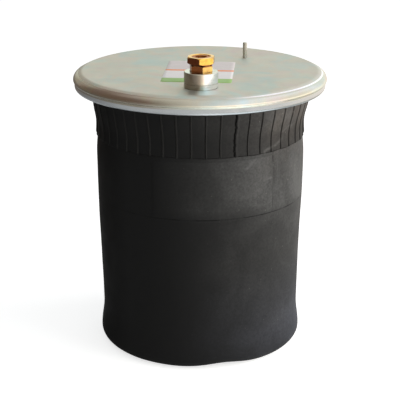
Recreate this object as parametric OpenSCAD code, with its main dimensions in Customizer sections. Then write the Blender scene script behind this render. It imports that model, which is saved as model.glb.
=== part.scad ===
// Rolling-lobe air spring bellows: a crimped steel bead plate with an air inlet boss and a locating
// pin, a two-ply rubber sleeve whose lower end is rolled inwards, and a wired lower bead.
// Millimetres. The axis of the bellows is Z, the sleeve stands on z = 0, and the inlet faces -Y.

/* [Overall] */
// Height of the bead plate's top face above the bottom of the rolled lobe
stand_h = 314; // [290:1:340]

/* [Bead plate] */
// Outer diameter over the rolled rim
plate_d = 282; // [276:1:300]
// Width of the rolled shoulder round the flat top face
shoulder_w = 11; // [9:0.5:16]
// Thickness of the pressed sheet
plate_t = 3; // [2:0.1:3.6]
// Height of the rolled rim
rim_h = 19; // [18:0.5:24]
// Outside radius of the rim's shoulder
shoulder_r = 7; // [5:0.5:8]
// Depth below the top face at which the rim is widest
equator_drop = 9; // [8:0.25:10]
// Outside radius of the curl under the rim
curl_r = 3.2; // [2.5:0.1:4]

/* [Inlet boss] */
// Distance of the boss's axis in from the plate's edge
boss_inset = 52; // [46:1:80]
// Turn of the boss from the front, towards the right
boss_turn = 0.7; // [-10:0.1:10]
// Diameter of the boss
boss_d = 36; // [34:0.5:42]
// Height of the boss above the plate
boss_h = 17; // [14:0.5:30]
// Depth to which the boss reaches below the sheet
boss_below = 5; // [3:0.5:10]
// Height of the turned groove above the plate
boss_groove_h = 5.5; // [4:0.5:8]
// Depth of the turned groove
boss_groove_depth = 0.5; // [0.3:0.1:1]
// Depth of the relief groove at the boss's foot
boss_relief = 0.5; // [0.3:0.1:1]
// Bore of the boss for the fitting's shank
boss_bore_d = 20.8; // [18:0.1:22]
// Air passage in the floor of the boss
air_passage_d = 9; // [6:0.5:9.5]
// Leg of the weld fillet round the boss
boss_weld_leg = 4; // [2:0.5:5]

/* [Locating pin] */
// Distance of the pin in from the plate's edge
pin_inset = 60.8; // [45:0.1:90]
// Turn of the pin from the front, towards the right
pin_turn = 139.6; // [100:0.1:170]
// Diameter of the pin
pin_d = 5; // [4:0.5:10]
// Height of the pin above the plate
pin_h = 18; // [12:0.5:30]
// Depth to which the pin reaches below the sheet
pin_below = 3; // [2:0.5:8]
// Depth of the relief groove at the pin's foot
pin_relief = 0.5; // [0.3:0.1:1]
// Leg of the weld fillet round the pin
pin_weld_leg = 2; // [1:0.5:2.5]

/* [Air fitting] */
// Width across flats of the fitting's body
body_af = 22; // [21:1:26]
// Height of the body's hexagon
body_hex_h = 7; // [6:0.5:12]
// Length of the shank in the boss
shank_l = 14; // [10:0.5:16]
// Width across flats of the union nut
nut_af = 27; // [25:1:32]
// Height of the union nut
nut_h = 8.8; // [8:0.2:14]
// Height of the cone on the underside of the nut
nut_cone_h = 2.8; // [1.5:0.1:4]
// Mouth of the nut
mouth_d = 19.4; // [18.6:0.1:20.4]
// Height of the neck that carries the nut
neck_h = 5.7; // [5:0.1:6.4]
// Diameter of the tube socket
tube_d = 12.1; // [10:0.1:12.6]
// Depth of the tube socket below the seal chamber
socket_l = 13; // [8:0.5:14]
// Section of the tube seal
seal_section = 2; // [1.4:0.1:2]
// Travel of the grip collet
collet_travel = 1.2; // [0.8:0.1:1.6]

/* [Sleeve] */
// Thickness of the cover rubber
cover_t = 2.2; // [1.8:0.1:3]
// Thickness of one cord ply
ply_t = 0.9; // [0.6:0.1:1.2]
// Thickness of the inner liner
liner_t = 1.5; // [1:0.1:2]
// How far the neck inside the rim lies in from the plate's edge
neck_inset = 19.7; // [19:0.1:22]
// How far the throat under the rim lies in from the neck
throat_in = 6.5; // [4:0.1:9]
// Depth of the throat below the plate's top face
throat_drop = 58; // [50:1:66]
// How far the chest, the widest place under the band, stands out from the throat
chest_out = 2.2; // [1:0.1:5]
// Depth of the chest below the plate's top face
chest_drop = 93; // [85:1:110]
// How far the waist above the lobe lies in from the chest
waist_in = 4.5; // [2:0.1:8]
// Height of the waist above the bottom
waist_h = 43; // [32:1:60]
// How far the rolled lobe stands out from the waist
lobe_out = 3.2; // [1:0.1:6]
// Radius of the lobe's outer turn, as a share of the lobe's width
lobe_turn_share = 0.31; // [0.25:0.01:0.45]
// Radius of the lobe's inner turn, as a share of the lobe's width
inner_turn_share = 0.414; // [0.3:0.01:0.5]
// How far the rolled-in wall stands back from the bead's bore, under the lower bead
inner_step = 4; // [2:0.5:6]
// How far the rolled-in wall opens out from there down to the lobe
inner_flare = 3; // [0:0.5:6]

/* [Fluted neck band] */
// Depth of the band's lower edge below the plate's top face
band_drop = 69.5; // [64:0.5:72]
// Thickness of the band
band_t = 1; // [0.8:0.1:1.6]
// Number of moulded ribs round the band, one of them the lap of the splice
rib_count = 48; // [31:1:54]
// Width of a rib
rib_w = 1.4; // [1:0.1:2]
// Height of a rib
rib_h = 0.9; // [0.6:0.1:1.6]
// Turn of the first rib from the front, towards the right
rib_turn = -4.4; // [-8:0.1:8]
// Place of the splice, as a count of ribs from the first
splice_index = 3; // [1:1:8]
// Width of the lap at the splice
splice_w = 3; // [2:0.1:5]

/* [Side pad] */
// Depth of the pad's upper edge below the plate's top face
pad_top_drop = 75; // [73:0.5:80]
// Depth of the pad's lower edge below the plate's top face
pad_bottom_drop = 138; // [120:1:150]
// Turn of the pad's left edge from the front
pad_from = -26; // [-40:1:-10]
// Turn of the pad's right edge from the front
pad_to = 45; // [20:1:60]
// Thickness of the pad
pad_t = 0.8; // [0.5:0.1:1.2]

/* [Beads] */
// Section of the upper bead wire
upper_wire_d = 6; // [4:0.5:7]
// Bore of the lower bead, which seats on the piston
lower_bore_d = 140; // [130:0.5:142]
// Height of the lower bead
lower_bead_h = 24; // [20:0.5:30]
// Height of the lower bead's underside above the bottom
lower_bead_z = 76; // [60:1:100]
// Section of the lower bead wire
lower_wire_d = 5.6; // [4:0.2:6]
// Chamfer at the mouth of the lower bead
bead_chamfer = 2; // [1:0.5:3]

/* [Clearances] */
// Gap between pieces that are bonded or pressed together
fit_gap = 0.05; // [0.02:0.01:0.1]
// Gap between pieces that move apart
run_gap = 0.3; // [0.2:0.05:0.4]

/* [Hidden] */
$fn = 96;

// Angle of the front of the bellows, from +X
front = 270;
// How far a cutting shape runs past the face that it opens
past = 1;
// Steps along an arc, along the neck band and along the rest of the wall
arc_steps = 6;
band_steps = 7;
wall_steps = 26;

// Levels
plate_under = stand_h - plate_t;
rim_under = stand_h - rim_h;
lip_top = rim_under + plate_t;
sleeve_top = plate_under - run_gap;
band_bottom = stand_h - band_drop;

// Radii of the sleeve's outside
plate_r = plate_d / 2;
neck_r = plate_r - neck_inset;
lip_r = neck_r + run_gap;
throat_r = neck_r - throat_in;
chest_r = throat_r + chest_out;
waist_r = chest_r - waist_in;
lobe_r = waist_r + lobe_out;

// Radii of the lower bore, of the rolled-in wall and of the lobe's turns
bore_r = lower_bore_d / 2;
inner_top_r = bore_r + inner_step;
inner_wall_r = inner_top_r + inner_flare;
lobe_turn_r = lobe_turn_share * (lobe_r - inner_wall_r);
inner_turn_r = inner_turn_share * (lobe_r - inner_wall_r);

// Depth of each layer's outside below the outside of the sleeve
ply_outer_at = cover_t + fit_gap;
ply_inner_at = ply_outer_at + ply_t + fit_gap;
liner_at = ply_inner_at + ply_t + fit_gap;
wall_t = liner_at + liner_t;

// Air fitting, as heights above the plate's top face
neck_z = boss_h + body_hex_h;
neck_top = neck_z + neck_h;
nut_z = neck_z + fit_gap;
nut_top = nut_z + nut_h;
shank_z = boss_h - shank_l;
shank_r = boss_bore_d / 2 - fit_gap;
seat_leg = 1.8;
seal_ring_r = seat_leg * (1 - sqrt(0.5));
thread_r = mouth_d / 2 - fit_gap;
tube_r = tube_d / 2;
seal_inner_r = tube_r + fit_gap;
chamber_r = seal_inner_r + seal_section + fit_gap;
chamber_z = neck_z - seal_section - run_gap;
seal_top = chamber_z + fit_gap + seal_section;
collet_under = neck_top + collet_travel + run_gap;
collet_bottom = seal_top + collet_travel + run_gap;
collet_flange_t = 1.2;

// Lower bead
bead_z = lower_bead_z + run_gap;
bead_top = bead_z + lower_bead_h;
bead_r = inner_top_r + wall_t;

// A value between two others, a smooth step from 0 to 1, and the slope of that step
function mix(a, b, t) = a + (b - a) * t;
function ease(t) = (1 - cos(180 * t)) / 2;
function ease_slope(t) = PI * sin(180 * t) / 2;

// Points of an arc about a centre
function arc(centre, r, from, to) =
    [for (i = [0:arc_steps]) let (a = mix(from, to, i / arc_steps)) centre + r * [cos(a), sin(a)]];

// A path is a list of [point, outward normal], so that a layer can be drawn at any depth under it
function turn_path(centre, r, from, to) =
    [for (i = [0:arc_steps]) let (a = mix(from, to, i / arc_steps), n = [cos(a), sin(a)]) [centre + r * n, n]];
function at_depth(path, depth) = [for (p = path) p[0] - depth * p[1]];
function reversed(points) = [for (i = [len(points) - 1:-1:0]) points[i]];
function layer(path, outside, inside) = concat(at_depth(path, outside), reversed(at_depth(path, inside)));

// Outside of the sleeve's wall: [height, radius] at its widest and narrowest places
stations = [[stand_h, neck_r], [rim_under, neck_r], [stand_h - throat_drop, throat_r],
            [stand_h - chest_drop, chest_r], [waist_h, waist_r], [lobe_turn_r, lobe_r]];
function span_of(z, k = 0) = k >= len(stations) - 2 || z > stations[k + 1][0] ? k : span_of(z, k + 1);
function wall_point(z) =
    let (k = span_of(z), a = stations[k], b = stations[k + 1], t = (z - a[0]) / (b[0] - a[0]),
         slope = (b[1] - a[1]) * ease_slope(t) / (b[0] - a[0]), n = [1, -slope] / norm([1, slope]))
    [[mix(a[1], b[1], ease(t)), z], n];
function wall_path(from, to, steps) = [for (i = [0:steps]) wall_point(mix(from, to, i / steps))];

band_path = wall_path(rim_under, band_bottom, band_steps);
lobe_path = concat(
    turn_path([lobe_r - lobe_turn_r, lobe_turn_r], lobe_turn_r, 0, -90),
    turn_path([inner_wall_r + inner_turn_r, inner_turn_r], inner_turn_r, -90, -180));
plain_path = [for (i = [1:wall_steps - 1]) wall_point(mix(band_bottom, lobe_turn_r, i / wall_steps))];
sleeve_path = concat([[[neck_r, sleeve_top], [1, 0]]], band_path, plain_path, lobe_path,
                     [[[inner_top_r, lower_bead_z], [-1, 0]]]);

// Outside of the rim from the flat face to the curl
edge_centre = [plate_r - shoulder_w, stand_h - shoulder_r];
equator_centre = [plate_r - shoulder_r, stand_h - equator_drop];
slope_turn = 90 + atan2(equator_centre[1] - edge_centre[1], equator_centre[0] - edge_centre[0]);
under_r = 2.2;
crease_r = 1;
crease_turn = -50;
skirt_turn = -4;
under_centre = [plate_r - under_r, equator_centre[1]];
crease_centre = under_centre + (under_r + crease_r) * [cos(crease_turn), sin(crease_turn)];
skirt_top = crease_centre - crease_r * [cos(skirt_turn), sin(skirt_turn)];
curl_z = rim_under + curl_r;
curl_centre = [skirt_top[0] + (skirt_top[1] - curl_z) * tan(skirt_turn) - curl_r, curl_z];
rim_outline = concat(
    arc(edge_centre, shoulder_r, 90, slope_turn),
    arc(equator_centre, shoulder_r, slope_turn, 0),
    arc(under_centre, under_r, 0, crease_turn),
    arc(crease_centre, crease_r, 180 + crease_turn, 180 + skirt_turn),
    arc(curl_centre, curl_r, skirt_turn, -90));

// Hollow of the rim, which grips the upper bead, drawn in from its walls by an inset
hollow_turn_r = shoulder_r - plate_t;
hollow_corner_r = 1.2;
hollow_r = curl_centre[0] + curl_r - plate_t;
function hollow_outline(inset) = concat(
    arc(edge_centre, hollow_turn_r - inset, 90, slope_turn),
    arc(equator_centre, hollow_turn_r - inset, slope_turn, 0),
    [[hollow_r - inset, equator_centre[1] - hollow_turn_r]],
    arc([hollow_r - hollow_corner_r, lip_top + hollow_corner_r], hollow_corner_r - inset, 0, -90));

// Places something on the plate's top face, at the boss or at the pin
module at_boss() {
    rotate(boss_turn) translate([0, boss_inset - plate_r, stand_h]) children();
}

module at_pin() {
    rotate(front + pin_turn) translate([plate_r - pin_inset, 0, stand_h]) children();
}

// A tube about Z between two levels
module tube(r, inner_r, from, to) {
    translate([0, 0, from]) difference() {
        cylinder(r = r, h = to - from);
        translate([0, 0, -past]) cylinder(r = inner_r, h = to - from + 2 * past);
    }
}

// Hole through the sheet for a stem
module sheet_hole(d) {
    translate([0, 0, -plate_t - past]) cylinder(d = d, h = plate_t + 2 * past);
}

module bead_plate() {
    color("#bdbdae") difference() {
        rotate_extrude(convexity = 6) polygon(concat(
            [[0, plate_under], [0, stand_h]], rim_outline,
            [[lip_r, rim_under], [lip_r, lip_top]], reversed(hollow_outline(0))));
        at_boss() sheet_hole(boss_d);
        at_pin() sheet_hole(pin_d);
    }
}

// Turned steel boss, welded through the plate, with a groove, a relief where it leaves the sheet and a
// coned seat for the thread seal
module inlet_boss() {
    edge = 0.6;
    groove_w = 0.8;
    relief_w = 1.2;
    r = boss_d / 2;
    bore = boss_bore_d / 2;
    bottom = -plate_t - boss_below;
    floor_z = shank_z - fit_gap;
    color("#b4b5ac") at_boss() rotate_extrude() polygon([
        [air_passage_d / 2, bottom], [r, bottom],
        [r, -relief_w / 2], [r - boss_relief, -relief_w / 2], [r - boss_relief, relief_w / 2], [r, relief_w / 2],
        [r, boss_groove_h - groove_w / 2],
        [r - boss_groove_depth, boss_groove_h - groove_w / 4],
        [r - boss_groove_depth, boss_groove_h + groove_w / 4],
        [r, boss_groove_h + groove_w / 2],
        [r, boss_h - edge], [r - edge, boss_h],
        [bore + seat_leg, boss_h], [bore, boss_h - seat_leg],
        [bore, floor_z], [air_passage_d / 2, floor_z]]);
}

// A weld fillet under the sheet, round a stem
module weld_fillet(stem_r, leg) {
    seat = -plate_t - fit_gap;
    start = stem_r + fit_gap;
    rotate_extrude() polygon([[start, seat], [start + leg, seat], [start, seat - leg]]);
}

module boss_weld() {
    color("#8d8a82") at_boss() weld_fillet(boss_d / 2, boss_weld_leg);
}

// Straight pin with a bevelled tip, and a relief groove where it leaves the sheet
module locating_pin() {
    tip = 0.6;
    groove_w = 1;
    r = pin_d / 2;
    bottom = -plate_t - pin_below;
    color("#8f8a7c") at_pin() rotate_extrude() polygon([
        [0, bottom], [r, bottom],
        [r, -groove_w / 2], [r - pin_relief, -groove_w / 2], [r - pin_relief, groove_w / 2],
        [r, groove_w / 2], [r, pin_h - tip], [r - tip, pin_h], [0, pin_h]]);
}

module pin_weld() {
    color("#8d8a82") at_pin() weld_fillet(pin_d / 2, pin_weld_leg);
}

// A hexagon whose upper corners are turned off, with a corner at the given turn from the front
module turned_hex(af, from, to, turn) {
    corner_r = af / 2 / cos(30);
    turned_r = af / 2 + 0.2;
    outside = corner_r + past;
    intersection() {
        rotate(front + turn) translate([0, 0, from]) cylinder(r = corner_r, h = to - from, $fn = 6);
        rotate_extrude() polygon([[0, from - past], [outside, from - past],
                                  [outside, to - (outside - turned_r) * tan(30)],
                                  [turned_r - past, to + past * tan(30)], [0, to + past * tan(30)]]);
    }
}

// Brass body: a shank in the boss, a hexagon and a neck, bored for the tube and its seal
module fitting_body() {
    hex_turn = 7.4;
    shank_edge = 1;
    socket_z = chamber_z - socket_l;
    color("#b8862f") at_boss() difference() {
        union() {
            rotate_extrude() polygon([
                [0, shank_z], [shank_r - shank_edge, shank_z], [shank_r, shank_z + shank_edge],
                [shank_r, boss_h - fit_gap], [thread_r, boss_h + body_hex_h / 2],
                [thread_r, neck_top], [0, neck_top]]);
            turned_hex(body_af, boss_h + fit_gap, neck_z, hex_turn);
        }
        translate([0, 0, shank_z - past]) cylinder(d = air_passage_d, h = socket_z - shank_z + 2 * past);
        translate([0, 0, socket_z]) cylinder(r = tube_r, h = socket_l + past);
        translate([0, 0, chamber_z]) cylinder(r = chamber_r, h = neck_top - chamber_z + past);
    }
}

// Hexagon nut with a coned underside and an open, chamfered mouth
module union_nut() {
    nut_turn = -6.5;
    lead = 0.7;
    mouth_r = mouth_d / 2;
    cone_r = mouth_r + 2;
    corner_r = nut_af / 2 / cos(30);
    outside = corner_r + past;
    cone_rise = nut_cone_h / (corner_r - cone_r);
    color("#c99a38") at_boss() difference() {
        intersection() {
            turned_hex(nut_af, nut_z, nut_top, nut_turn);
            rotate_extrude() polygon([[0, nut_z], [cone_r, nut_z],
                                      [outside, nut_z + cone_rise * (outside - cone_r)],
                                      [outside, nut_top + past], [0, nut_top + past]]);
        }
        translate([0, 0, nut_z - past]) cylinder(r = mouth_r, h = nut_h + 2 * past);
        rotate_extrude() polygon([[0, nut_top - lead - past], [mouth_r - past, nut_top - lead - past],
                                  [mouth_r + lead + past, nut_top + past], [0, nut_top + past]]);
    }
}

// Ring in the coned seat of the boss, under the fitting's hexagon
module thread_seal() {
    color("#202020") at_boss() rotate_extrude()
        translate([boss_bore_d / 2 + seal_ring_r, boss_h - seal_ring_r]) circle(r = seal_ring_r - fit_gap);
}

// Ring in the seal chamber, round the tube
module tube_seal() {
    color("#202020") at_boss() rotate_extrude()
        translate([seal_inner_r + seal_section / 2, chamber_z + fit_gap + seal_section / 2])
            circle(d = seal_section);
}

// Slotted ring in the nut's mouth: pressed down, it lets go of the tube
module grip_collet() {
    slots = 6;
    slot_w = 1.2;
    slot_end = collet_under - 1.5;
    r = chamber_r - fit_gap;
    inner_r = tube_r + 2 * fit_gap;
    color("#c9a24a") at_boss() difference() {
        union() {
            tube(r, inner_r, collet_bottom, collet_under + collet_flange_t / 2);
            tube(mouth_d / 2 - run_gap, inner_r, collet_under, collet_under + collet_flange_t);
        }
        for (i = [0:slots - 1])
            rotate(i * 360 / slots) translate([0, -slot_w / 2, collet_bottom - past])
                cube([r + past, slot_w, slot_end - collet_bottom + past]);
    }
}

// A strip in the section of a bead, from the wire's centre to a radius
module strip(centre, mouth_r, half_h) {
    translate([min(centre[0], mouth_r), centre[1] - half_h])
        square([abs(mouth_r - centre[0]), 2 * half_h]);
}

// Section of a bead with its wire's groove cut out, open towards one side
module grooved(centre, wire_d, mouth_r) {
    difference() {
        children();
        translate(centre) circle(r = wire_d / 2 + fit_gap);
        strip(centre, mouth_r, wire_d / 4 + fit_gap);
    }
}

// Section of the filler that closes the groove over the wire
module groove_filler(centre, wire_d, mouth_r) {
    difference() {
        intersection() {
            children();
            strip(centre, mouth_r, wire_d / 4);
        }
        translate(centre) circle(r = wire_d / 2 + fit_gap);
    }
}

// Upper bead: the rubber rim that the plate's curl grips, wound round a steel wire
upper_wire_at = [mix(lip_r, hollow_r, 0.5), mix(lip_top, plate_under, 0.5)];
upper_mouth_r = lip_r - past;

module upper_bead_section() {
    polygon(concat([[lip_r, plate_under - fit_gap]], hollow_outline(fit_gap), [[lip_r, lip_top + fit_gap]]));
}

module upper_bead() {
    color("#1c1c1c") rotate_extrude()
        grooved(upper_wire_at, upper_wire_d, upper_mouth_r) upper_bead_section();
}

module upper_bead_wire() {
    color("#7c7c7c") rotate_extrude() translate(upper_wire_at) circle(d = upper_wire_d);
}

module upper_bead_filler() {
    color("#2a2a2a") rotate_extrude()
        groove_filler(upper_wire_at, upper_wire_d, upper_mouth_r) upper_bead_section();
}

// Part of a layer that follows the sleeve's outside, as wide as w, at a turn from the front
module strake(path, outside, inside, turn, w) {
    angle = w / throat_r * 180 / PI;
    rotate_extrude(angle = angle, start = front + turn - angle / 2) polygon(layer(path, outside, inside));
}

// Raised band under the rim, with moulded ribs and the lap of its splice
module neck_band() {
    root = -run_gap - band_t / 2;
    top = -run_gap - band_t;
    color("#1e1e1e") union() {
        rotate_extrude(convexity = 4) polygon(layer(band_path, top, -run_gap));
        for (i = [0:rib_count - 1]) {
            turn = rib_turn + i * 360 / rib_count;
            if (i == splice_index) strake(band_path, top - rib_h * 0.75, root, turn, splice_w);
            else strake(band_path, top - rib_h, root, turn, rib_w);
        }
    }
}

// Bare pad that is vulcanised to the sleeve under the band
module side_pad() {
    path = wall_path(stand_h - pad_top_drop, stand_h - pad_bottom_drop, band_steps);
    color("#262626") rotate_extrude(angle = pad_to - pad_from, start = front + pad_from)
        polygon(layer(path, -run_gap - pad_t, -run_gap));
}

// One layer of the sleeve, from the neck down the wall, round the lobe and up to the lower bead
module sleeve_layer(depth, thickness) {
    rotate_extrude(convexity = 6) polygon(layer(sleeve_path, depth, depth + thickness));
}

module sleeve_cover() {
    color("#1d1d1d") sleeve_layer(0, cover_t);
}

module cord_ply_outer() {
    color("#3c3a35") sleeve_layer(ply_outer_at, ply_t);
}

module cord_ply_inner() {
    color("#45423b") sleeve_layer(ply_inner_at, ply_t);
}

module inner_liner() {
    color("#262422") sleeve_layer(liner_at, liner_t);
}

// Lower bead: the wired ring at the end of the rolled-in wall, whose bore seats on the piston
lower_wire_at = [mix(bore_r, bead_r, 0.5), mix(bead_z, bead_top, 0.5)];
lower_mouth_r = bead_r + past;

module lower_bead_section() {
    corner_r = 4;
    edge = 1;
    polygon(concat(
        [[bore_r + edge, bead_top], [bore_r, bead_top - edge], [bore_r, bead_z + bead_chamfer],
         [bore_r + bead_chamfer, bead_z], [bead_r, bead_z]],
        arc([bead_r - corner_r, bead_top - corner_r], corner_r, 0, 90)));
}

module lower_bead() {
    color("#1c1c1c") rotate_extrude()
        grooved(lower_wire_at, lower_wire_d, lower_mouth_r) lower_bead_section();
}

module lower_bead_wire() {
    color("#7c7c7c") rotate_extrude() translate(lower_wire_at) circle(d = lower_wire_d);
}

module lower_bead_filler() {
    color("#2a2a2a") rotate_extrude()
        groove_filler(lower_wire_at, lower_wire_d, lower_mouth_r) lower_bead_section();
}

bead_plate();
inlet_boss();
boss_weld();
locating_pin();
pin_weld();
fitting_body();
union_nut();
thread_seal();
tube_seal();
grip_collet();
upper_bead();
upper_bead_wire();
upper_bead_filler();
neck_band();
side_pad();
sleeve_cover();
cord_ply_outer();
cord_ply_inner();
inner_liner();
lower_bead();
lower_bead_wire();
lower_bead_filler();
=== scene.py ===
"""Looks of a rolling-lobe air spring bellows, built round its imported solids.

The frame is the solids' own: metres, +Z up, the bellows' axis is Z and the air inlet faces -Y. Sizes of the
pieces are written in millimetres, as on their drawing, and those of the floor, the room, the lamps and the
camera in metres. A turn is an angle from the front towards +X.
"""
import math

import bpy
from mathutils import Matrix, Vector, noise


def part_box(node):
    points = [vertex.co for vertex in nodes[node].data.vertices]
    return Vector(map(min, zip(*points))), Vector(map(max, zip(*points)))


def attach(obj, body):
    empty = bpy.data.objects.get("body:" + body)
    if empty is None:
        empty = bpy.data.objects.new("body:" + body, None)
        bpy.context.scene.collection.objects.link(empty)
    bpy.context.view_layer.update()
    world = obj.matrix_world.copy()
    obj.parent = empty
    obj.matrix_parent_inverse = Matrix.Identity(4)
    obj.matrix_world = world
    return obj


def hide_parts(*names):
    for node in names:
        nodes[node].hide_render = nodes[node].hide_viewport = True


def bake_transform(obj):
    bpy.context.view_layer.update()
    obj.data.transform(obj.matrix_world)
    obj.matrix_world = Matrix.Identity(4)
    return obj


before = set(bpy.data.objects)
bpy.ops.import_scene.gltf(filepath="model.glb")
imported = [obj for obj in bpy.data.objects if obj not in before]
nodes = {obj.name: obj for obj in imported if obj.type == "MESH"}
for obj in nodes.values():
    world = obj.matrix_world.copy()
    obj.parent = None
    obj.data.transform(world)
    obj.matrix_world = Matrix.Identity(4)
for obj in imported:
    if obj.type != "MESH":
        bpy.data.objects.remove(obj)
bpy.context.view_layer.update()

MM = 0.001

# The plate: heights of its top, of the rim's lower edge and of the crease between roll and skirt, radius of
# its flat face, and how far in front of the axis the boss stands
PLATE_TOP = round(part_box("bead_plate")[1][2] / MM, 2)
RIM_UNDER = PLATE_TOP - 19.0
CREASE = PLATE_TOP - 11.8
FLAT_R = 135.0
BOSS_OUT = 89.0

# The sleeve's outside, from the neck to the lobe: height above the floor, radius
NECK_R = 121.3
THROAT_R = 114.8
CHEST_R = 117.0
STATIONS = [(PLATE_TOP, NECK_R), (RIM_UNDER, NECK_R), (PLATE_TOP - 58.0, THROAT_R),
            (PLATE_TOP - 93.0, CHEST_R), (43.0, 112.5), (12.0, 115.7)]
SLEEVE_TOP = PLATE_TOP - 3.3
BAND_TOP = RIM_UNDER - 0.1
BAND_BOTTOM = PLATE_TOP - 70.9
PAD_TOP = PLATE_TOP - 75.0
PAD_BOTTOM = PLATE_TOP - 138.0
BEAD_UNDER = 76.0
WALL_T = 5.65
RUN_GAP = 0.3
# Centre (radius, height) and radius of the lobe's two turns
OUTER_TURN = (103.7, 12.0, 12.0)
INNER_TURN = (93.0, 16.0, 16.0)
INNER_WALL_R = 77.0
INNER_TOP_R = 74.0
# Radius inside which the rolled-in wall keeps its round shape, for the piston
PISTON_SIDE_R = 80.0


def mm(*lengths):
    """Lengths in millimetres as metres."""
    return [length * MM for length in lengths]


def mix(a, b, t):
    """Value at the share t of the way from a to b."""
    return a + (b - a) * t


def smooth(t):
    """Share from 0 to 1 that starts and ends gently."""
    t = min(max(t, 0.0), 1.0)
    return t * t * (3 - 2 * t)


def shade(colour, factors):
    """A colour times a factor each for its red, green and blue."""
    return tuple(value * factor for value, factor in zip(colour, factors))


def place(turn, r, z):
    """A point in metres at a turn from the front, in radians, with radius and height in mm."""
    return (r * math.sin(turn) * MM, -r * math.cos(turn) * MM, z * MM)


def mesh_object(name, points, faces, slots=None):
    """A smooth-shaded object from points and faces, with a material slot index for each face."""
    mesh = bpy.data.meshes.new(name)
    mesh.from_pydata(points, [], faces)
    mesh.update()
    mesh.shade_smooth()
    obj = bpy.data.objects.new(name, mesh)
    bpy.context.scene.collection.objects.link(obj)
    if slots:
        mesh.polygons.foreach_set("material_index", slots)
    return obj


def shell(name, outside, inside, round_about=True):
    """A closed shell between two grids of points, given as rows.

    round_about joins the last column to the first. Faces of the inside and of the rims get material slot 1,
    those of the outside slot 0.
    """
    rows, cols = len(outside), len(outside[0])
    points = [p for row in outside for p in row] + [p for row in inside for p in row]
    shift = rows * cols
    faces, slots = [], []
    last = cols if round_about else cols - 1
    for i in range(rows - 1):
        for j in range(last):
            k = (j + 1) % cols
            a, b, c, d = i * cols + j, i * cols + k, (i + 1) * cols + k, (i + 1) * cols + j
            faces.append((a, d, c, b))
            slots.append(0)
            faces.append((a + shift, b + shift, c + shift, d + shift))
            slots.append(1)
    low = (rows - 1) * cols
    for j in range(last):
        k = (j + 1) % cols
        faces.append((j, k, k + shift, j + shift))
        faces.append((low + k, low + j, low + j + shift, low + k + shift))
        slots += [1, 1]
    if not round_about:
        for i in range(rows - 1):
            a, b = i * cols, (i + 1) * cols
            faces.append((b, a, a + shift, b + shift))
            a, b = a + cols - 1, b + cols - 1
            faces.append((a, b, b + shift, a + shift))
            slots += [1, 1]
    return mesh_object(name, points, faces, slots)


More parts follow.
